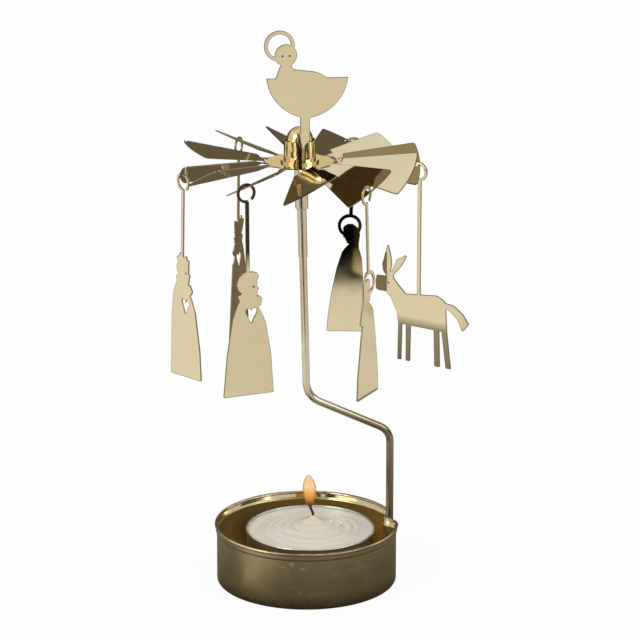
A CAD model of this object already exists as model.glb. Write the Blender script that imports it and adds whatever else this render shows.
import math

import bmesh
import bpy
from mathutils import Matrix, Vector, noise

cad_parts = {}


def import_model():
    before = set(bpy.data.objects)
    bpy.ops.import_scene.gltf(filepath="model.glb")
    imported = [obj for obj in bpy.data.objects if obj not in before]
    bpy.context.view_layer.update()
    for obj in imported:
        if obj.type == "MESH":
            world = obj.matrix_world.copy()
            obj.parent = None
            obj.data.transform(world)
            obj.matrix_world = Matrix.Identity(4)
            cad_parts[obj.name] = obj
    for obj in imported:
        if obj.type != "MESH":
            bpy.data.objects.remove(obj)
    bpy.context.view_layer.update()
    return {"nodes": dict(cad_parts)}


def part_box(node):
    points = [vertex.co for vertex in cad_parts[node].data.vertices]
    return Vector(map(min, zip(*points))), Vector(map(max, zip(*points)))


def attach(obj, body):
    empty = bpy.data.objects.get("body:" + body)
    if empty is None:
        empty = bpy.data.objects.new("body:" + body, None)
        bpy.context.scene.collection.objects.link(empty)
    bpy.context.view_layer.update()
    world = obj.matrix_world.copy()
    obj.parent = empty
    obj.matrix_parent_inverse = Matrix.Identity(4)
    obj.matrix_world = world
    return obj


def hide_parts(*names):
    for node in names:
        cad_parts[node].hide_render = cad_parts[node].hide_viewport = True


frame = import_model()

MM = 0.001
NODES = frame["nodes"]
RIGHT, BACK, UP = (1.0, 0.0, 0.0), (0.0, 1.0, 0.0), (0.0, 0.0, 1.0)
CORNERS = ((-1.0, -1.0), (1.0, -1.0), (1.0, 1.0), (-1.0, 1.0))

# Places read from the frame, in metres
CUP_LOW, CUP_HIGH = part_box("tealight_cup")
WAX_LOW, WAX_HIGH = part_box("tealight_wax")
WICK_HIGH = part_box("tealight_wick")[1]
TRAY_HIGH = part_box("tray")[1]
SUSTAINER_LOW, SUSTAINER_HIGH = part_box("wick_sustainer")
COLLAR_LOW, COLLAR_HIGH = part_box("hub_collar")
HUB_AXIS = (COLLAR_LOW + COLLAR_HIGH) / 2.0
LIGHT_X = (CUP_LOW.x + CUP_HIGH.x) / 2.0
WICK_X = (SUSTAINER_LOW.x + SUSTAINER_HIGH.x) / 2.0

# Wax: sizes in metres, and its top as shares of its radius and of the cone's height
WICK_R = 0.65 * MM
CUP_WALL = 0.25 * MM
CUP_BEAD_R = 0.25 * MM
CUP_GAP = 0.02 * MM
WAX_R = (CUP_HIGH.x - CUP_LOW.x) / 2.0 - CUP_BEAD_R - CUP_WALL - CUP_GAP
WAX_CONE_H = 4.6 * MM
WAX_FOOT_R = 1.0 * MM
WAX_FOOT_CUT = 0.3 * MM
WAX_STEP = 0.6 * MM
WAX_CONE_SHARE = 0.45
WAX_SEGMENTS = 128
WAX_TOP_STEPS = 4
WAX_TOP_SHARES = [
    (1.0, 0.03), (0.985, -0.01), (0.955, -0.025), (0.90, -0.02), (0.84, -0.005), (0.79, 0.02),
    (0.755, 0.05), (0.735, 0.085), (0.715, 0.10), (0.69, 0.095), (0.665, 0.10), (0.64, 0.13),
    (0.615, 0.185), (0.59, 0.215), (0.56, 0.215), (0.53, 0.205), (0.50, 0.215), (0.475, 0.26),
    (0.45, 0.33), (0.425, 0.375), (0.395, 0.38), (0.365, 0.37), (0.335, 0.395), (0.31, 0.45),
    (0.285, 0.52), (0.26, 0.555), (0.23, 0.565), (0.20, 0.585), (0.17, 0.64), (0.14, 0.70),
    (0.11, 0.75), (0.085, 0.79), (0.065, 0.84), (0.05, 0.90), (0.04, 0.95)]
RIPPLE_START_R = WICK_R * 2.2
RIPPLE_END_R = WAX_R * 0.97
RIPPLE_SHARE = 0.035
RIPPLE_LIFT = 0.13 * MM
RIPPLE_DROP = 0.2 * MM
RIPPLE_FADE_SHARE = 0.1
WOBBLE_AROUND, WOBBLE_ACROSS = 1.3, 2.0
LIFT_AROUND, LIFT_ACROSS, LIFT_OFFSET = 2.2, 5.0, 7.0
SUSTAINER_R = 1.05 * MM
SUSTAINER_H = 3.3 * MM

# Wick: sizes in metres, and its bends and tapers as shares
THREAD_R = 0.42 * MM
THREAD_GAP = 0.02 * MM
WICK_SUNK = 6.0 * MM
WICK_TIP_DROP = 0.9 * MM
WICK_LEAN = 0.85 * MM
WICK_HOOK = 0.16 * MM
LEAN_START, LEAN_SPAN = 0.62, 0.30
HOOK_START, HOOK_SPAN = 0.90, 0.10
STRAND_OFFSET_SHARE = 0.45
STRAND_R_SHARE = 0.58
TIP_TAPER_SHARE = 0.3
WICK_STRANDS = 3
WICK_TWISTS = 4.0
WICK_STEPS = 60
STRAND_SIDES = 8
WICK_BROWN_H = 1.0 * MM
EMBER_GLOW = 0.8

# Flame: sizes in metres, drift sideways in mm, and outline as shares of half its width and of its height
FLAME_LOW = WAX_HIGH.z + 2.3 * MM
FLAME_HIGH = WAX_HIGH.z + 12.6 * MM
FLAME_X = WICK_X - 1.0 * MM
FLAME_W = 3.9 * MM
CORE_W = 3.6 * MM
CORE_SHARES = (0.03, 0.965)
FLAME_LEAN, FLAME_SWAY, FLAME_BEND = 0.35, 0.75, 0.9
FLAME_SEGMENTS = 40
FLAME_STEPS = 3
FLAME_FACING = (0.30, 0.75)
FLAME_FOOT_SHARE = 0.35
FLAME_SHARES = [(0.0, 0.0), (0.28, 0.03), (0.50, 0.12), (0.72, 0.25), (0.90, 0.40), (1.0, 0.54),
                (0.98, 0.65), (0.84, 0.77), (0.61, 0.87), (0.35, 0.95), (0.0, 1.0)]

# Tin: heights and places in metres, the slope of its lip, its shade at the foot and its wall's facing
LIP_LOW = TRAY_HIGH.z - 2.3 * MM
LIP_HIGH = TRAY_HIGH.z - 1.9 * MM
LIP_CURVE_Z = TRAY_HIGH.z - 2.2 * MM
LIP_CURVE = -0.36
BEAD_LOW = TRAY_HIGH.z - 0.45 * MM
BEAD_HIGH = TRAY_HIGH.z - 0.25 * MM
FOOT_SHADE_H = 5.0 * MM
FOOT_SHADE = 0.42
PITS_HIGH = 2.6 * MM
PITS_LOW = 0.8 * MM
SCUFF_SQUASH = 3.2
SCUFF_PLACE = (-2.6 * MM, -26.0 * MM, 13.4 * SCUFF_SQUASH * MM)
SCUFF_FULL_R = 3.0 * MM
SCUFF_END_R = 6.0 * MM
WALL_FACING = (-0.15, 0.15)

# Edges and eye dots: sizes in metres, and facings as cosines
EDGE_ROLL = 0.34 * MM
TIN_EDGE_ROLL = 0.26 * MM
ROLL_START, ROLL_FULL = 0.9995, 0.975
CUT_FACING = (0.58, 0.72)
FLAT_FACING = (0.9, 0.95)
EYE_DEPTH_FULL = 0.06 * MM
EYE_DEPTH_START = 0.03 * MM

# Collar's flutes: count, unevenness, depth in metres, strength and where they begin
FLUTES = 13.0
FLUTE_UNEVEN = 5.0
FLUTE_DEPTH = 0.10 * MM
FLUTE_STRENGTH = 0.7
FLUTES_BEGIN_SHARES = (0.22, 0.30)
HOLLOW_WAVE = (0.35, 0.85)

# Roughness, from smoothest to roughest
FAN_ROUGHNESS = (0.03, 0.06)
HUB_ROUGHNESS = (0.12, 0.18)
COLLAR_ROUGHNESS = (0.06, 0.11)
POST_ROUGHNESS = (0.12, 0.20)
STEEL_ROUGHNESS = (0.15, 0.25)
FOIL_ROUGHNESS = (0.22, 0.38)
GLOSSY_ROUGHNESS = (0.05, 0.09)
SATIN_ROUGHNESS = (0.18, 0.26)
WAX_ROUGHNESS = (0.17, 0.23)

# Roughness of one value, and what cut edges, the satin inside and the polished lip change
WICK_ROUGHNESS = 0.9
FLOOR_ROUGHNESS = 0.9
GOLD_ROUGHNESS = 0.26
CUT_ROUGHER = 0.2
LIP_POLISH = -0.14
SATIN_METAL_LOSS = -0.14

# Wax: how it scatters light, and how far from the wick it is warm, in metres
WAX_SUBSURFACE = 0.25
WAX_SCATTER = (1.0, 0.72, 0.45)
WAX_SCATTER_SCALE = 1.6 * MM
WAX_IOR = 1.44
WAX_WARM_R, WAX_SOLID_R = 1.0 * MM, 8.0 * MM
WAX_WARM_SHARE = 0.8

# Noise patterns: stretch along x, y and z, waves per metre, octaves and roughness
EVEN = (1.0, 1.0, 1.0)
SHEET_CLOUD = (EVEN, 55.0, 5.0, 0.6)
SHEET_GLOSS = (EVEN, 140.0, 3.0, 0.6)
SHEET_ROLLING = ((900.0, 900.0, 60.0), 2.0, 3.0, 0.5)
SHEET_SLOW = (EVEN, 70.0, 1.0, 0.4)
COLLAR_CLOUD = (EVEN, 90.0, 4.0, 0.6)
COLLAR_UNEVEN = ((1.0, 1.0, 0.5), 300.0, 1.0, 0.5)
TIN_CLOUD = ((1.0, 1.0, 0.5), 60.0, 6.0, 0.6)
TIN_PATCHES = (EVEN, 75.0, 3.0, 0.6)
TIN_SMEAR = ((0.6, 0.6, 3.2), 95.0, 5.0, 0.7)
TIN_SPECKS = (EVEN, 1500.0, 1.0, 0.3)
TIN_STIPPLE = ((1.0, 1.0, 0.6), 1900.0, 2.0, 0.6)
TIN_STROKES = ((1.0, 1.0, 2.6), 520.0, 3.0, 0.65)
TIN_SCUFFS = ((1.0, 1.0, 5.0), 170.0, 5.0, 0.65)
TIN_RINGS = ((12.0, 12.0, 900.0), 1.5, 3.0, 0.5)
TIN_DENTS = (EVEN, 230.0, 2.0, 0.5)
FOIL_CLOUD = (EVEN, 120.0, 4.0, 0.6)
FOIL_CREASES = ((900.0, 900.0, 40.0), 1.0, 3.0, 0.6)
WAX_CLOUD = (EVEN, 90.0, 3.0, 0.5)
WAX_FINE = (EVEN, 320.0, 2.0, 0.5)
WICK_FIBRES = ((1.0, 1.0, 0.5), 2500.0, 3.0, 0.6)

# Levels of the noise between which colours and gloss change
NOISE_LOW, NOISE_HIGH = 0.3, 0.7
CLOUD_LOW, CLOUD_HIGH = 0.32, 0.66
TIN_CLOUD_HIGH = 0.68
WAX_CLOUD_HIGH = 0.72
PATCH_LOW, PATCH_HIGH = 0.46, 0.60

# Two levels of the noise, and the effect at each
SMEAR_GAIN = (0.56, 0.74, 1.0, 1.45)
SPECK_GAIN = (0.79, 0.82, 1.0, 2.2)
STIPPLE_DEPTH = (0.40, 0.60, 0.5, 0.0)
STROKE_STRENGTH = (0.55, 0.64, 0.0, 0.6)
TIN_SATIN = (0.35, 0.7, 0.30, 0.42)

# Bumps: height in metres and strength, the fan's slow wave, and the dents on the tin's lip
SHEET_BUMP, SHEET_GRAIN, FAN_GRAIN = 0.02 * MM, 0.02, 0.01
TIN_BUMP, TIN_GRAIN = 0.03 * MM, 0.16
FOIL_BUMP, FOIL_GRAIN = 0.06 * MM, 0.3
WAX_BUMP, WAX_GRAIN = 0.04 * MM, 0.08
WICK_BUMP, WICK_GRAIN = 0.12 * MM, 0.8
FAN_WAVE = 150.0
LIP_DENTS = 5.0

# The fan's sheet faces up, and its two sides aren't told apart because it has no eye dots
FAN_PLANE = (UP, 0.0, 0.0)

# Density of each flame layer at its foot, in its middle and at its rim
FLAME_DENSITY = (0.45, 0.10, 1.0)
CORE_DENSITY = (0.60, 1.0, 0.45)

# Colours, linear
CUT_EDGE = (0.30, 0.235, 0.13)
ROLLED_EDGE = (0.11, 0.08, 0.04)
EYE_DARK = (0.03, 0.022, 0.012)
SHEET_LIGHT, SHEET_DARK = (0.86, 0.75, 0.485), (0.82, 0.705, 0.445)
FAN_LIGHT, FAN_DARK = (0.85, 0.745, 0.50), (0.80, 0.69, 0.44)
HUB_LIGHT, HUB_DARK = (0.90, 0.71, 0.38), (0.86, 0.65, 0.31)
COLLAR_LIGHT, COLLAR_DARK = (0.90, 0.72, 0.38), (0.84, 0.64, 0.30)
COLLAR_HOLLOW = (0.25, 0.17, 0.065)
POST_LIGHT, POST_DARK = (0.76, 0.68, 0.52), (0.68, 0.595, 0.44)
STEEL_LIGHT, STEEL_DARK = (0.66, 0.65, 0.63), (0.55, 0.54, 0.52)
FOIL_LIGHT, FOIL_DARK = (0.80, 0.78, 0.73), (0.60, 0.58, 0.53)
TIN_LIGHT, TIN_DARK = (0.40, 0.325, 0.175), (0.30, 0.235, 0.12)
GOLD_LIGHT, GOLD_DARK = (0.67, 0.50, 0.20), (0.56, 0.40, 0.14)
LIP_COLOUR = (0.76, 0.65, 0.41)
BEAD_LIGHT, BEAD_DARK = (0.76, 0.66, 0.42), (0.34, 0.27, 0.15)
SCUFF_COLOUR = (0.85, 0.78, 0.62)
WAX_LIGHT, WAX_DARK = (0.685, 0.645, 0.56), (0.64, 0.595, 0.51)
WAX_WARM = (0.70, 0.62, 0.47)
WICK_STOPS = [(0.0, (0.22, 0.14, 0.07)), (0.2, (0.03, 0.02, 0.013)), (0.8, (0.012, 0.008, 0.006)),
              (1.0, (0.10, 0.02, 0.005))]
EMBER_STOPS = [(0.0, 0.0), (0.86, 0.0), (1.0, (1.0, 0.16, 0.02))]
FLAME_STOPS = [(0.0, (0.12, 0.055, 0.02)), (0.22, (0.48, 0.19, 0.035)), (0.6, (0.58, 0.25, 0.04)),
               (1.0, (0.56, 0.28, 0.06))]
CORE_STOPS = [(0.0, (0.06, 0.03, 0.012)), (0.15, (0.16, 0.065, 0.015)), (0.32, (0.70, 0.27, 0.045)),
              (0.50, (0.90, 0.44, 0.11)), (0.68, (0.98, 0.70, 0.39)), (0.90, (0.95, 0.62, 0.31))]
WHITE = (1.0, 1.0, 1.0)
FLOOR_COLOUR = (0.8, 0.8, 0.8)
FLOOR_WHITE = 0.93
MIRROR_LEFT, MIRROR_RIGHT = (0.84, 0.83, 0.81), (0.74, 0.72, 0.68)
MIRROR_NEAR_LEFT, MIRROR_NEAR_RIGHT = (0.25, 0.22, 0.17), (0.15, 0.13, 0.10)
MIRROR_BEHIND = (0.135, 0.105, 0.072)
SKY_STOPS = [(0.0, 0.55), (0.5, 0.60), (0.66, 0.70), (0.80, 0.80), (1.0, 0.83)]

# Shares of the height, from the foot, where darker plating begins, is full and ends, and its colour
NO_END = 2.0
TARNISH = {"king_turbaned": (0.60, 0.68, NO_END, (0.05, 0.038, 0.02)),
           "bowed_figure": (0.27, 0.44, 0.84, (0.035, 0.026, 0.012)),
           "donkey": (0.24, 0.20, NO_END, (0.36, 0.31, 0.19)),
           "crib_figure": (0.125, 0.095, NO_END, (0.42, 0.31, 0.13)),
           "veiled_figure": (0.015, 0.008, NO_END, (0.22, 0.17, 0.09))}
POST_TARNISH = (0.50, 0.40, NO_END, (0.27, 0.22, 0.145))
FADE_SHARE = 0.03
LEGS_SHARE = 0.30
LEGS_FADE_SHARE = 0.02

FIGURES = ["donkey", "bowed_figure", "king_spired", "king_crowned", "king_turbaned", "veiled_figure",
           "crib_figure"]
GLOSSY_FIGURES = ("bowed_figure", "crib_figure")

# Camera: place in mm, degrees downward, focal length in pixels of the photograph's width
CAMERA_PLACE = (3.97, -1113.0, 435.0)
CAMERA_DOWN = 17.7
CAMERA_FOCAL_PX, PHOTO_PX = 4035.0, 640.0
SENSOR_W = 36.0
CLIP_START = 0.01

# Floor in metres, and where its mirrored colours change
FLOOR_HALF = 4.0
BEHIND_SLANT = -0.5
BEHIND_START, BEHIND_FULL = 0.055, 0.095
ACROSS_HALF = 0.12
BESIDE_HALF = 0.05
NEAR_R, FAR_R = 0.045, 0.15

# Lamps: name, place, target, size, power
LIGHTS = [
    ("key", (-0.75, -0.65, 0.85), (0.0, 0.0, 0.07), (0.5, 0.5), 6.0),
    ("fill", (0.85, -0.45, 0.55), (0.0, 0.0, 0.07), (0.5, 0.5), 2.0),
]

# Reflection cards (name, place, target, size, colour): a dark wall low behind, the dark gap where the
# camera stands with two strips of light, the crib's and the disk's surroundings, dark corners of the
# ceiling, and soft light low on the left with less on the right
CARDS = [
    ("card_back", (0.0, 0.75, 0.17), (0.0, 0.0, 0.17), (2.6, 0.80), (0.125, 0.098, 0.068)),
    ("card_front", (-0.065, -0.235, 0.15), (-0.065, 0.0, 0.15), (0.25, 0.30), (0.010, 0.008, 0.005)),
    ("card_strip_wide", (-0.095, -0.230, 0.15), (-0.095, 0.0, 0.15), (0.022, 0.30), (0.95, 0.93, 0.88)),
    ("card_strip_slim", (-0.050, -0.230, 0.15), (-0.050, 0.0, 0.15), (0.008, 0.30), (0.80, 0.76, 0.66)),
    ("card_corner", (-0.175, 0.222, 0.467), (-0.175, 0.222, 0.0), (0.25, 0.122), (0.21, 0.155, 0.085)),
    ("card_crib", (-0.051, -0.439, 0.557), (0.0, 0.0, 0.147), (0.46, 0.46), (0.055, 0.038, 0.017)),
    ("card_disk", (0.0, 0.70, 0.275), (0.0, 0.0, 0.13), (0.09, 0.15), (0.72, 0.60, 0.37)),
    ("card_ceiling", (0.10, 0.17, 0.70), (0.02, 0.0, 0.13), (0.17, 0.17), (0.335, 0.28, 0.185)),
    ("card_left", (-0.50, -0.36, 0.16), (0.0, 0.0, 0.02), (0.30, 0.30), (1.5, 1.45, 1.35)),
    ("card_low_left", (-0.066, -0.060, 0.0008), (-0.066, -0.060, 1.0), (0.07, 0.08), (0.85, 0.82, 0.76)),
    ("card_right", (0.60, -0.16, 0.10), (0.0, 0.0, 0.02), (0.40, 0.22), (0.10, 0.08, 0.055)),
]


def bare_material(name):
    """Material with an empty surface, and the socket that its surface goes to."""
    material = bpy.data.materials.new(name)
    material.use_nodes = True
    tree = material.node_tree
    tree.nodes.clear()
    return material, tree, tree.nodes.new("ShaderNodeOutputMaterial").inputs["Surface"]


def shaded_material(name):
    """Material with one principled shader as its surface."""
    material, tree, surface = bare_material(name)
    shader = tree.nodes.new("ShaderNodeBsdfPrincipled")
    tree.links.new(shader.outputs["BSDF"], surface)
    return material, tree, shader


def feed(tree, made, sockets):
    """Set sockets of a node to numbers, vectors or colours, or link outputs to them."""
    for key, value in sockets.items():
        socket = made.inputs[key]
        if isinstance(value, (int, float)):
            socket.default_value = value
        elif isinstance(value, tuple):
            socket.default_value = (*value, 1.0) if socket.type == "RGBA" else value
        else:
            tree.links.new(value, socket)


def node(tree, kind, sockets=None, **settings):
    made = tree.nodes.new(kind)
    for key, value in settings.items():
        setattr(made, key, value)
    feed(tree, made, sockets or {})
    return made


def math_node(tree, operation, *values):
    return node(tree, "ShaderNodeMath", dict(enumerate(values)), operation=operation).outputs["Value"]


def vector_node(tree, operation, output, *values):
    return node(tree, "ShaderNodeVectorMath", dict(enumerate(values)), operation=operation).outputs[output]


def coordinates(tree, kind):
    return node(tree, "ShaderNodeTexCoord").outputs[kind]


def along(tree, kind, direction):
    """Texture coordinate of one kind, measured along a fixed direction."""
    return vector_node(tree, "DOT_PRODUCT", "Value", coordinates(tree, kind), direction)


def stretched(tree, stretch):
    """Object coordinates, each multiplied by its stretch."""
    sockets = {"Vector": coordinates(tree, "Object"), "Scale": stretch}
    return node(tree, "ShaderNodeMapping", sockets).outputs["Vector"]


def pattern(tree, stretch, waves, octaves, roughness):
    sockets = {"Vector": stretched(tree, stretch), "Scale": waves, "Detail": octaves, "Roughness": roughness}
    return node(tree, "ShaderNodeTexNoise", sockets).outputs["Fac"]


def ramp(tree, value, stops):
    """Colour ramp with stops of a place and a colour or a grey."""
    made = node(tree, "ShaderNodeValToRGB", {"Fac": value})
    elements = made.color_ramp.elements
    while len(elements) < len(stops):
        elements.new(0.5)
    for element, (place, colour) in zip(elements, stops):
        element.position = place
        element.color = (*colour, 1.0) if isinstance(colour, tuple) else (colour, colour, colour, 1.0)
    return made.outputs["Color"]


def remap(tree, value, low, high, to_low, to_high):
    """Clamped straight-line map of low to high onto to_low to to_high."""
    sockets = {"Value": value, "From Min": low, "From Max": high, "To Min": to_low, "To Max": to_high}
    return node(tree, "ShaderNodeMapRange", sockets).outputs["Result"]


def mix_colour(tree, factor, first, second, blend="MIX"):
    sockets = {"Factor": factor, "A": first, "B": second}
    made = node(tree, "ShaderNodeMix", sockets, data_type="RGBA", blend_type=blend)
    return [out for out in made.outputs if out.type == "RGBA"][0]


def mix_shaders(tree, factor, first, second):
    return node(tree, "ShaderNodeMixShader", {0: factor, 1: first, 2: second}).outputs["Shader"]


def emission(tree, colour):
    return node(tree, "ShaderNodeEmission", {"Color": colour}).outputs["Emission"]


def bump(tree, height, distance, strength, normal=None):
    sockets = {"Height": height, "Distance": distance, "Strength": strength}
    if normal is not None:
        sockets["Normal"] = normal
    return node(tree, "ShaderNodeBump", sockets).outputs["Normal"]


def rolled_edge(tree):
    """1 in the narrow rolled-over border that stamping leaves round a sheet, 0 on its flat."""
    rounded = node(tree, "ShaderNodeBevel", {"Radius": EDGE_ROLL}, samples=6).outputs["Normal"]
    flat = node(tree, "ShaderNodeNewGeometry").outputs["True Normal"]
    same = vector_node(tree, "DOT_PRODUCT", "Value", rounded, flat)
    return remap(tree, same, ROLL_START, ROLL_FULL, 0.0, 1.0)


def tarnished(tree, colour, clear_share, dark_share, again_share, dull):
    """Colour with duller plating between shares of the height."""
    up = along(tree, "Generated", UP)
    share = remap(tree, up, clear_share, dark_share, 0.0, 1.0)
    ending = remap(tree, up, again_share, again_share + FADE_SHARE, 1.0, 0.0)
    return mix_colour(tree, math_node(tree, "MULTIPLY", share, ending), colour, dull)


def eye_dots(tree, facing, normal, low, high):
    """1 on the bottom of the dots engraved in a sheet's sides above any legs, 0 elsewhere."""
    offset = math_node(tree, "SUBTRACT", along(tree, "Object", normal), (low + high) / 2.0)
    inside = math_node(tree, "ABSOLUTE", offset)
    half = (high - low) / 2.0
    deep = remap(tree, inside, half - EYE_DEPTH_FULL, half - EYE_DEPTH_START, 1.0, 0.0)
    eye = math_node(tree, "MULTIPLY", deep, remap(tree, facing, *FLAT_FACING, 0.0, 1.0))
    up = along(tree, "Generated", UP)
    over_legs = remap(tree, up, LEGS_SHARE, LEGS_SHARE + LEGS_FADE_SHARE, 0.0, 1.0)
    return math_node(tree, "MULTIPLY", eye, over_legs)


def sheet_metal(name, light, dark, roughness, grain=SHEET_GRAIN, wave=0.0, plane=None, tarnish=None):
    """Rolled and plated sheet: cloudy tarnish, rolling grain, uneven gloss, darker cut edges and eye dots."""
    material, tree, shader = shaded_material(name)
    colour = ramp(tree, pattern(tree, *SHEET_CLOUD), [(CLOUD_LOW, dark), (CLOUD_HIGH, light)])
    rough = remap(tree, pattern(tree, *SHEET_GLOSS), NOISE_LOW, NOISE_HIGH, *roughness)
    if tarnish is not None:
        colour = tarnished(tree, colour, *tarnish)
    if plane is not None:
        normal, low, high = plane
        facing = math_node(tree, "ABSOLUTE", along(tree, "Normal", normal))
        edge = remap(tree, facing, *CUT_FACING, 1.0, 0.0)
        colour = mix_colour(tree, rolled_edge(tree), colour, ROLLED_EDGE)
        colour = mix_colour(tree, edge, colour, CUT_EDGE)
        rough = math_node(tree, "MULTIPLY_ADD", edge, CUT_ROUGHER, rough)
        if high > low:
            colour = mix_colour(tree, eye_dots(tree, facing, normal, low, high), colour, EYE_DARK)
    height = pattern(tree, *SHEET_ROLLING)
    if wave > 0.0:
        height = math_node(tree, "MULTIPLY_ADD", pattern(tree, *SHEET_SLOW), wave, height)
    feed(tree, shader, {"Base Color": colour, "Metallic": 1.0, "Roughness": rough,
                        "Normal": bump(tree, height, SHEET_BUMP, grain)})
    return material


def fluted_brass():
    """Polished collar with upright flutes pressed into it, uneven and dark in their hollows."""
    material, tree, shader = shaded_material("collar_brass")
    cloud = pattern(tree, *COLLAR_CLOUD)
    across = math_node(tree, "SUBTRACT", along(tree, "Object", RIGHT), HUB_AXIS.x)
    deep = math_node(tree, "SUBTRACT", along(tree, "Object", BACK), HUB_AXIS.y)
    shift = math_node(tree, "MULTIPLY", pattern(tree, *COLLAR_UNEVEN), FLUTE_UNEVEN)
    turn = math_node(tree, "MULTIPLY_ADD", math_node(tree, "ARCTAN2", deep, across), FLUTES, shift)
    wave = math_node(tree, "SINE", turn)
    upper = remap(tree, along(tree, "Generated", UP), *FLUTES_BEGIN_SHARES, 0.0, 1.0)
    hollow = math_node(tree, "MULTIPLY", remap(tree, wave, *HOLLOW_WAVE, 0.0, 1.0), upper)
    colour = ramp(tree, cloud, [(CLOUD_LOW, COLLAR_DARK), (CLOUD_HIGH, COLLAR_LIGHT)])
    height = math_node(tree, "MULTIPLY", wave, upper)
    feed(tree, shader, {"Base Color": mix_colour(tree, hollow, colour, COLLAR_HOLLOW),
                        "Metallic": 1.0,
                        "Roughness": remap(tree, cloud, NOISE_LOW, NOISE_HIGH, *COLLAR_ROUGHNESS),
                        "Normal": bump(tree, height, -FLUTE_DEPTH, FLUTE_STRENGTH)})
    return material


def tin_shade(tree, height, wall):
    """Grey factor on the outside of the tin: dim low down, smeared and dusty, pitted at the foot."""
    low = remap(tree, height, 0.0, FOOT_SHADE_H, FOOT_SHADE, 1.0)
    worn = remap(tree, pattern(tree, *TIN_SMEAR), *SMEAR_GAIN)
    dust = remap(tree, pattern(tree, *TIN_SPECKS), *SPECK_GAIN)
    foot = remap(tree, height, PITS_HIGH, PITS_LOW, 0.0, 1.0)
    pits = math_node(tree, "MULTIPLY", foot, remap(tree, pattern(tree, *TIN_STIPPLE), *STIPPLE_DEPTH))
    shade = math_node(tree, "MULTIPLY", math_node(tree, "MULTIPLY", low, worn), dust)
    shade = math_node(tree, "MULTIPLY", shade, math_node(tree, "SUBTRACT", 1.0, pits))
    shade = math_node(tree, "MULTIPLY_ADD", math_node(tree, "SUBTRACT", shade, 1.0), wall, 1.0)
    return node(tree, "ShaderNodeCombineColor", {0: shade, 1: shade, 2: shade}).outputs["Color"]


def rubbed_spot(tree):
    """Share of bare metal in the strokes of one rubbed spot on the front of the tin."""
    away = vector_node(tree, "DISTANCE", "Value", stretched(tree, (1.0, 1.0, SCUFF_SQUASH)), SCUFF_PLACE)
    spot = remap(tree, away, SCUFF_FULL_R, SCUFF_END_R, 1.0, 0.0)
    return math_node(tree, "MULTIPLY", spot, remap(tree, pattern(tree, *TIN_STROKES), *STROKE_STRENGTH))


def tin_relief(tree, height, wall, inner, lip):
    """Normals of the tin: rounded lip, soft edges, drawn rings outside and small dents on the lip."""
    above = math_node(tree, "MAXIMUM", math_node(tree, "SUBTRACT", height, LIP_CURVE_Z), 0.0)
    curve = math_node(tree, "MULTIPLY", math_node(tree, "MULTIPLY", above, LIP_CURVE), inner)
    soft_edge = node(tree, "ShaderNodeBevel", {"Radius": TIN_EDGE_ROLL}, samples=4).outputs["Normal"]
    rounded = bump(tree, curve, 1.0, 1.0, soft_edge)
    dents = math_node(tree, "MULTIPLY", lip, pattern(tree, *TIN_DENTS))
    dents = math_node(tree, "MULTIPLY", dents, LIP_DENTS)
    fine = math_node(tree, "MULTIPLY_ADD", pattern(tree, *TIN_RINGS), wall, dents)
    return bump(tree, fine, TIN_BUMP, TIN_GRAIN, rounded)


def tin_metal():
    """Tin: olive brass outside with scuffs and specks, warm gold inside, polished rounded lip."""
    material, tree, shader = shaded_material("tin_brass")
    outward = vector_node(tree, "MULTIPLY", "Vector", coordinates(tree, "Object"), (1.0, 1.0, 0.0))
    outward = vector_node(tree, "NORMALIZE", "Vector", outward)
    side = vector_node(tree, "DOT_PRODUCT", "Value", outward, coordinates(tree, "Normal"))
    wall = remap(tree, side, *WALL_FACING, 0.0, 1.0)
    inner = math_node(tree, "SUBTRACT", 1.0, wall)
    height = along(tree, "Object", UP)
    lip = remap(tree, height, LIP_LOW, LIP_HIGH, 0.0, 1.0)
    bead = remap(tree, height, BEAD_LOW, BEAD_HIGH, 0.0, 1.0)

    cloud = pattern(tree, *TIN_CLOUD)
    outside = ramp(tree, cloud, [(NOISE_LOW, TIN_DARK), (TIN_CLOUD_HIGH, TIN_LIGHT)])
    inside = ramp(tree, cloud, [(NOISE_LOW, GOLD_DARK), (NOISE_HIGH, GOLD_LIGHT)])
    worn_bead = ramp(tree, pattern(tree, *TIN_PATCHES), [(PATCH_LOW, BEAD_DARK), (PATCH_HIGH, BEAD_LIGHT)])
    colour = mix_colour(tree, wall, mix_colour(tree, lip, inside, LIP_COLOUR), outside)
    colour = mix_colour(tree, bead, colour, worn_bead)
    colour = mix_colour(tree, 1.0, colour, tin_shade(tree, height, wall), "MULTIPLY")
    colour = mix_colour(tree, rubbed_spot(tree), colour, SCUFF_COLOUR)

    satin = math_node(tree, "MULTIPLY", inner, math_node(tree, "SUBTRACT", 1.0, lip))
    polish = math_node(tree, "MULTIPLY", lip, inner)
    rough = remap(tree, pattern(tree, *TIN_SCUFFS), *TIN_SATIN)
    rough = math_node(tree, "MULTIPLY_ADD", rough, wall, math_node(tree, "MULTIPLY", inner, GOLD_ROUGHNESS))
    feed(tree, shader, {"Base Color": colour,
                        "Metallic": math_node(tree, "MULTIPLY_ADD", satin, SATIN_METAL_LOSS, 1.0),
                        "Roughness": math_node(tree, "MULTIPLY_ADD", polish, LIP_POLISH, rough),
                        "Normal": tin_relief(tree, height, wall, inner, lip)})
    return material


def cup_foil():
    """Thin drawn aluminium with upright creases."""
    material, tree, shader = shaded_material("cup_foil")
    cloud = pattern(tree, *FOIL_CLOUD)
    feed(tree, shader, {"Base Color": ramp(tree, cloud, [(NOISE_LOW, FOIL_DARK), (NOISE_HIGH, FOIL_LIGHT)]),
                        "Metallic": 1.0,
                        "Roughness": remap(tree, cloud, NOISE_LOW, NOISE_HIGH, *FOIL_ROUGHNESS),
                        "Normal": bump(tree, pattern(tree, *FOIL_CREASES), FOIL_BUMP, FOIL_GRAIN)})
    return material


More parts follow.
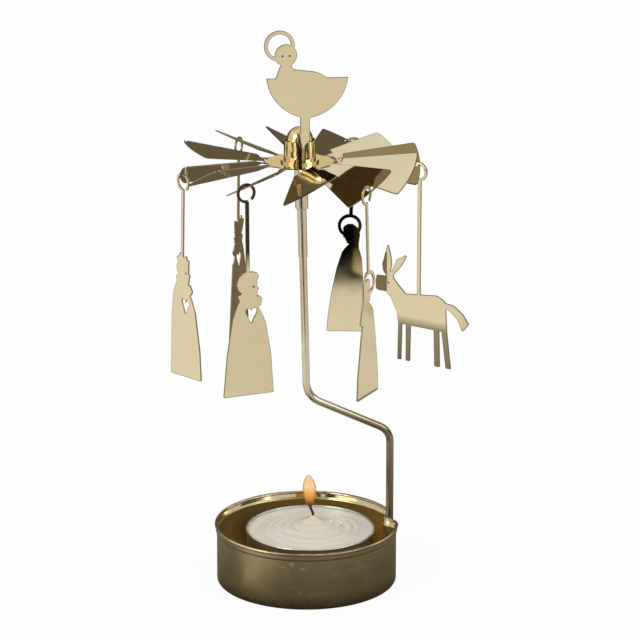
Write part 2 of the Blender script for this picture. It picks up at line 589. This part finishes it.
def paraffin():
    """Wax, ivory where it is solid and clearer and warmer in the pool by the flame."""
    material, tree, shader = shaded_material("paraffin")
    wick_top = (WICK_X, 0.0, WAX_HIGH.z)
    offset = vector_node(tree, "SUBTRACT", "Vector", coordinates(tree, "Object"), wick_top)
    distance = vector_node(tree, "LENGTH", "Value", offset)
    warm = remap(tree, distance, WAX_WARM_R, WAX_SOLID_R, WAX_WARM_SHARE, 0.0)
    cloud = pattern(tree, *WAX_CLOUD)
    solid = ramp(tree, cloud, [(NOISE_LOW, WAX_DARK), (WAX_CLOUD_HIGH, WAX_LIGHT)])
    feed(tree, shader, {"Base Color": mix_colour(tree, warm, solid, WAX_WARM),
                        "Subsurface Weight": WAX_SUBSURFACE,
                        "Subsurface Radius": WAX_SCATTER,
                        "Subsurface Scale": WAX_SCATTER_SCALE,
                        "IOR": WAX_IOR,
                        "Roughness": remap(tree, cloud, NOISE_LOW, NOISE_HIGH, *WAX_ROUGHNESS),
                        "Normal": bump(tree, pattern(tree, *WAX_FINE), WAX_BUMP, WAX_GRAIN)})
    return material


def charred_cotton():
    """Burnt thread, brown at the wax, black above, with a faint ember at the tip."""
    material, tree, shader = shaded_material("charred_cotton")
    height = remap(tree, along(tree, "Object", UP), WAX_HIGH.z - WICK_BROWN_H, WICK_HIGH.z, 0.0, 1.0)
    feed(tree, shader, {"Base Color": ramp(tree, height, WICK_STOPS),
                        "Emission Color": ramp(tree, height, EMBER_STOPS),
                        "Emission Strength": EMBER_GLOW,
                        "Roughness": WICK_ROUGHNESS,
                        "Normal": bump(tree, pattern(tree, *WICK_FIBRES), WICK_BUMP, WICK_GRAIN)})
    return material


def flame_glow(name, stops, foot, middle, rim):
    """Glowing gas: its colour follows the height, and foot, middle and rim say how dense it is there."""
    material, tree, surface = bare_material(name)
    height = remap(tree, along(tree, "Object", UP), FLAME_LOW, FLAME_HIGH, 0.0, 1.0)
    facing = node(tree, "ShaderNodeLayerWeight", {"Blend": 0.5}).outputs["Facing"]
    layer = remap(tree, facing, *FLAME_FACING, middle, rim)
    body = remap(tree, height, 0.0, FLAME_FOOT_SHARE, foot, 1.0)
    clear = node(tree, "ShaderNodeBsdfTransparent").outputs["BSDF"]
    glow = emission(tree, ramp(tree, height, stops))
    tree.links.new(mix_shaders(tree, math_node(tree, "MULTIPLY", body, layer), clear, glow), surface)
    return material


def mesh_object(name, mesh, material, smooth=True):
    item = bpy.data.objects.new(name, mesh)
    bpy.context.scene.collection.objects.link(item)
    item.data.materials.append(material)
    for face in mesh.polygons:
        face.use_smooth = smooth
    return item


def shape_object(name, shape, material):
    """Object made of a finished bmesh."""
    mesh = bpy.data.meshes.new(name)
    shape.to_mesh(mesh)
    shape.free()
    return mesh_object(name, mesh, material)


def smoothed(points, steps):
    """Catmull-Rom curve through a list of points."""
    result = []
    for index in range(len(points) - 1):
        before = points[max(index - 1, 0)]
        after = points[min(index + 2, len(points) - 1)]
        a, b = points[index], points[index + 1]
        for step in range(steps):
            t = step / steps
            result.append(tuple(
                0.5 * (2.0 * q + (r - p) * t + (2.0 * p - 5.0 * q + 4.0 * r - s) * t * t
                       + (3.0 * q - p - 3.0 * r + s) * t * t * t)
                for p, q, r, s in zip(before, a, b, after)))
    result.append(tuple(points[-1]))
    return result


def lathe(name, profile, centre_of, material, segments, ripple=None):
    """Surface of revolution about a centre that may change along the profile."""
    shape = bmesh.new()
    rows = []
    for radius, height in profile:
        cx, cy = centre_of(radius, height)
        if radius <= 0.0:
            rows.append([shape.verts.new((cx, cy, height))])
            continue
        row = []
        for index in range(segments):
            turn = 2.0 * math.pi * index / segments
            r, z = radius, height
            if ripple is not None:
                r, z = ripple(radius, height, turn)
            row.append(shape.verts.new((cx + r * math.cos(turn), cy + r * math.sin(turn), z)))
        rows.append(row)
    for low, high in zip(rows[:-1], rows[1:]):
        for index in range(segments):
            after = (index + 1) % segments
            if len(low) == 1:
                shape.faces.new((low[0], high[index], high[after]))
            elif len(high) == 1:
                shape.faces.new((low[index], high[0], low[after]))
            else:
                shape.faces.new((low[index], high[index], high[after], low[after]))
    bmesh.ops.recalc_face_normals(shape, faces=shape.faces)
    return shape_object(name, shape, material)


def ring_noise(turn, around, depth):
    """Smooth noise that closes on itself after a full turn."""
    return noise.noise(Vector((math.cos(turn) * around, math.sin(turn) * around, depth)))


def wax_piece(material):
    """Wax with the soft rings that melting and setting leave, drawn up in a cone at the wick."""
    edge = WAX_HIGH.z - WAX_CONE_H
    cone = WAX_HIGH.z - edge
    inner = THREAD_R + THREAD_GAP
    top = [(WAX_R * share, edge + rise * cone) for share, rise in WAX_TOP_SHARES]
    top.append((inner, WAX_HIGH.z))
    foot = WAX_LOW.z
    outline = [(inner, foot + SUSTAINER_H), (SUSTAINER_R, foot + SUSTAINER_H), (WAX_R - WAX_FOOT_R, foot),
               (WAX_R - WAX_FOOT_CUT, foot + WAX_FOOT_CUT), (WAX_R, foot + WAX_FOOT_R)]
    profile = outline + smoothed(top, WAX_TOP_STEPS)

    def centre_of(radius, height):
        share = min(max((WAX_R - radius) / (WAX_R * WAX_CONE_SHARE), 0.0), 1.0)
        if height < edge - WAX_STEP:
            share = 0.0 if radius > WAX_R * 0.5 else 1.0
        return LIGHT_X + (WICK_X - LIGHT_X) * share, 0.0

    def ripple(radius, height, turn):
        if height < edge - RIPPLE_DROP or radius > RIPPLE_END_R or radius < RIPPLE_START_R:
            return radius, height
        calm = min((RIPPLE_END_R - radius) / (WAX_R * RIPPLE_FADE_SHARE), 1.0)
        calm = calm * min((radius - RIPPLE_START_R) / MM, 1.0)
        wobble = ring_noise(turn, WOBBLE_AROUND, radius / WAX_R * WOBBLE_ACROSS)
        lift = ring_noise(turn, LIFT_AROUND, radius / WAX_R * LIFT_ACROSS + LIFT_OFFSET)
        return radius * (1.0 + RIPPLE_SHARE * wobble * calm), height + RIPPLE_LIFT * lift * calm

    return lathe("wax", profile, centre_of, material, WAX_SEGMENTS, ripple)


def wick_piece(material):
    """Braided wick, three strands twisted together, that leans over in an S and ends in a glowing tip."""
    shape = bmesh.new()
    base = Vector((WICK_X, 0.0, WAX_HIGH.z - WICK_SUNK))
    rise = WICK_HIGH.z - base.z - WICK_TIP_DROP
    for strand in range(WICK_STRANDS):
        rows = []
        for step in range(WICK_STEPS + 1):
            t = step / WICK_STEPS
            bend = min(max(t - LEAN_START, 0.0) / LEAN_SPAN, 1.0)
            lean = bend * bend * (3.0 - 2.0 * bend)
            hook = max(t - HOOK_START, 0.0) / HOOK_SPAN
            centre = base + Vector((-WICK_LEAN * lean + WICK_HOOK * hook, 0.0, rise * t))
            turn = 2.0 * math.pi * (strand / WICK_STRANDS + t * WICK_TWISTS)
            centre += Vector((math.cos(turn), math.sin(turn), 0.0)) * THREAD_R * STRAND_OFFSET_SHARE
            radius = THREAD_R * STRAND_R_SHARE * (1.0 - TIP_TAPER_SHARE * hook)
            row = []
            for side in range(STRAND_SIDES):
                around = 2.0 * math.pi * side / STRAND_SIDES
                outward = Vector((math.cos(around), math.sin(around), 0.0))
                row.append(shape.verts.new(centre + outward * radius))
            rows.append(row)
        for low, high in zip(rows[:-1], rows[1:]):
            for side in range(STRAND_SIDES):
                after = (side + 1) % STRAND_SIDES
                shape.faces.new((low[side], low[after], high[after], high[side]))
        shape.faces.new(list(reversed(rows[0])))
        shape.faces.new(rows[-1])
    return shape_object("wick", shape, material)


def flame_piece(name, material, width, low_share, high_share):
    """Teardrop of a quiet flame, widest over half its height and narrow at the wick."""
    height = FLAME_HIGH - FLAME_LOW
    low, high = FLAME_LOW + height * low_share, FLAME_LOW + height * high_share
    outline = smoothed(FLAME_SHARES, FLAME_STEPS)
    profile = [(max(r, 0.0) * width / 2.0, low + z * (high - low)) for r, z in outline]
    profile[0] = (0.0, low)
    profile[-1] = (0.0, high)

    def centre_of(radius, z):
        t = (z - FLAME_LOW) / height
        return FLAME_X + (FLAME_LEAN * t - FLAME_SWAY * t * t) * MM * FLAME_BEND, 0.0

    return lathe(name, profile, centre_of, material, FLAME_SEGMENTS)


def card(name, place, target, size, colour):
    """Flat studio card that faces a target and is seen only in reflections."""
    place = Vector(place)
    turn = (Vector(target) - place).to_track_quat("Z", "Y")
    half_x, half_y = size[0] / 2.0, size[1] / 2.0
    mesh = bpy.data.meshes.new(name)
    mesh.from_pydata([tuple(place + turn @ Vector((x * half_x, y * half_y, 0.0))) for x, y in CORNERS], [],
                     [(0, 1, 2, 3)])
    material, tree, surface = bare_material(name)
    tree.links.new(emission(tree, colour), surface)
    item = mesh_object(name, mesh, material, False)
    item.visible_camera = False
    item.visible_diffuse = False
    item.visible_shadow = False
    item.visible_transmission = False


def area_light(name, place, target, size, power):
    lamp = bpy.data.lights.new(name, "AREA")
    lamp.shape = "RECTANGLE"
    lamp.size, lamp.size_y = size
    lamp.energy = power
    item = bpy.data.objects.new(name, lamp)
    bpy.context.scene.collection.objects.link(item)
    item.location = place
    item.rotation_euler = (Vector(target) - Vector(place)).to_track_quat("-Z", "Y").to_euler()


def floor_mirror(tree):
    """Colour of the floor in reflections: dim round the tin, dark behind it, lighter on the left."""
    across = along(tree, "Object", RIGHT)
    aside = math_node(tree, "ABSOLUTE", across)
    behind = math_node(tree, "MULTIPLY_ADD", aside, BEHIND_SLANT, along(tree, "Object", BACK))
    depth = remap(tree, behind, BEHIND_START, BEHIND_FULL, 0.0, 1.0)
    reach = vector_node(tree, "LENGTH", "Value", coordinates(tree, "Object"))
    near = remap(tree, reach, NEAR_R, FAR_R, 1.0, 0.0)
    far_side = remap(tree, across, -ACROSS_HALF, ACROSS_HALF, 0.0, 1.0)
    near_side = remap(tree, across, -BESIDE_HALF, BESIDE_HALF, 0.0, 1.0)
    lit = ramp(tree, far_side, [(0.0, MIRROR_LEFT), (1.0, MIRROR_RIGHT)])
    dim = ramp(tree, near_side, [(0.0, MIRROR_NEAR_LEFT), (1.0, MIRROR_NEAR_RIGHT)])
    return mix_colour(tree, depth, mix_colour(tree, near, lit, dim), MIRROR_BEHIND)


def floor():
    """Pale tabletop, white to the camera with the object's shadow, darker behind in reflections."""
    mesh = bpy.data.meshes.new("floor")
    mesh.from_pydata([(x * FLOOR_HALF, y * FLOOR_HALF, 0.0) for x, y in CORNERS], [], [(0, 1, 2, 3)])
    material, tree, surface = bare_material("floor")
    sockets = {"Base Color": FLOOR_COLOUR, "Roughness": FLOOR_ROUGHNESS, "Specular IOR Level": 0.0}
    matte = node(tree, "ShaderNodeBsdfPrincipled", sockets).outputs["BSDF"]
    seen = mix_shaders(tree, FLOOR_WHITE, matte, emission(tree, WHITE))
    path = node(tree, "ShaderNodeLightPath")
    unseen = mix_shaders(tree, path.outputs["Is Glossy Ray"], matte, emission(tree, floor_mirror(tree)))
    tree.links.new(mix_shaders(tree, path.outputs["Is Camera Ray"], unseen, seen), surface)
    mesh_object("floor", mesh, material, False)


def world():
    """White backdrop for the camera, and a grey studio with a bright ceiling for the metal."""
    made = bpy.data.worlds.new("studio")
    bpy.context.scene.world = made
    made.use_nodes = True
    tree = made.node_tree
    tree.nodes.clear()
    output = node(tree, "ShaderNodeOutputWorld")
    height = remap(tree, along(tree, "Generated", UP), -1.0, 1.0, 0.0, 1.0)
    seen = node(tree, "ShaderNodeBackground", {"Color": WHITE}).outputs["Background"]
    soft = node(tree, "ShaderNodeBackground", {"Color": ramp(tree, height, SKY_STOPS)}).outputs["Background"]
    path = node(tree, "ShaderNodeLightPath")
    both = mix_shaders(tree, path.outputs["Is Camera Ray"], soft, seen)
    tree.links.new(both, output.inputs["Surface"])


def camera():
    """Camera fitted to the rim and the base of the tin in the photograph."""
    lens = bpy.data.cameras.new("camera")
    lens.sensor_width = SENSOR_W
    lens.lens = CAMERA_FOCAL_PX / PHOTO_PX * lens.sensor_width
    lens.clip_start = CLIP_START
    item = bpy.data.objects.new("camera", lens)
    bpy.context.scene.collection.objects.link(item)
    item.location = Vector(CAMERA_PLACE) * MM
    item.rotation_euler = (math.radians(90.0 - CAMERA_DOWN), 0.0, 0.0)
    bpy.context.scene.camera = item


def sheet_plane(item):
    """Normal of a flat figure's largest face, and where its two sides lie along that normal."""
    faces = sorted(item.data.polygons, key=lambda face: face.area)
    normal = faces[-1].normal.copy()
    high = faces[-1].center.dot(normal)
    low = [face.center.dot(normal) for face in faces if face.normal.dot(normal) < -0.999][-1]
    return tuple(normal), low, high


camera()
world()
floor()
bpy.context.scene.view_settings.view_transform = "Standard"

for row in CARDS:
    card(*row)
for row in LIGHTS:
    area_light(*row)

NEEDLE = sheet_metal("needle_steel", STEEL_LIGHT, STEEL_DARK, STEEL_ROUGHNESS)
FINISHES = {
    "tray": tin_metal(),
    "post": sheet_metal("post_plating", POST_LIGHT, POST_DARK, POST_ROUGHNESS, tarnish=POST_TARNISH),
    "post_ferrule": sheet_metal("ferrule_plating", POST_LIGHT, POST_DARK, POST_ROUGHNESS),
    "pivot_needle": NEEDLE,
    "rotor_blades": sheet_metal("fan_brass", FAN_LIGHT, FAN_DARK, FAN_ROUGHNESS, FAN_GRAIN, FAN_WAVE,
                                FAN_PLANE),
    "hub_collar": fluted_brass(),
    "hub_dome": sheet_metal("hub_brass", HUB_LIGHT, HUB_DARK, HUB_ROUGHNESS),
    "tealight_cup": cup_foil(),
    "wick_sustainer": NEEDLE,
}
for name in FIGURES:
    roughness = GLOSSY_ROUGHNESS if name in GLOSSY_FIGURES else SATIN_ROUGHNESS
    FINISHES[name] = sheet_metal("brass_" + name, SHEET_LIGHT, SHEET_DARK, roughness,
                                 plane=sheet_plane(NODES[name]), tarnish=TARNISH.get(name))
for name in FIGURES + ["rotor_blades"]:
    mesh = NODES[name].data
    if "custom_normal" in mesh.attributes:
        mesh.attributes.remove(mesh.attributes["custom_normal"])
    mesh.shade_flat()
for name, material in FINISHES.items():
    item = NODES[name]
    item.data.materials.clear()
    item.data.materials.append(material)

wax = wax_piece(paraffin())
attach(wax, "tealight")
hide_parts("tealight_wax")

wick = wick_piece(charred_cotton())
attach(wick, "tealight")
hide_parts("tealight_wick")

OUTER = flame_glow("flame_outer", FLAME_STOPS, *FLAME_DENSITY)
CORE = flame_glow("flame_core", CORE_STOPS, *CORE_DENSITY)
for piece in (flame_piece("flame_outer", OUTER, FLAME_W, 0.0, 1.0),
              flame_piece("flame_core", CORE, CORE_W, *CORE_SHARES)):
    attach(piece, "tealight")
    piece.visible_shadow = False
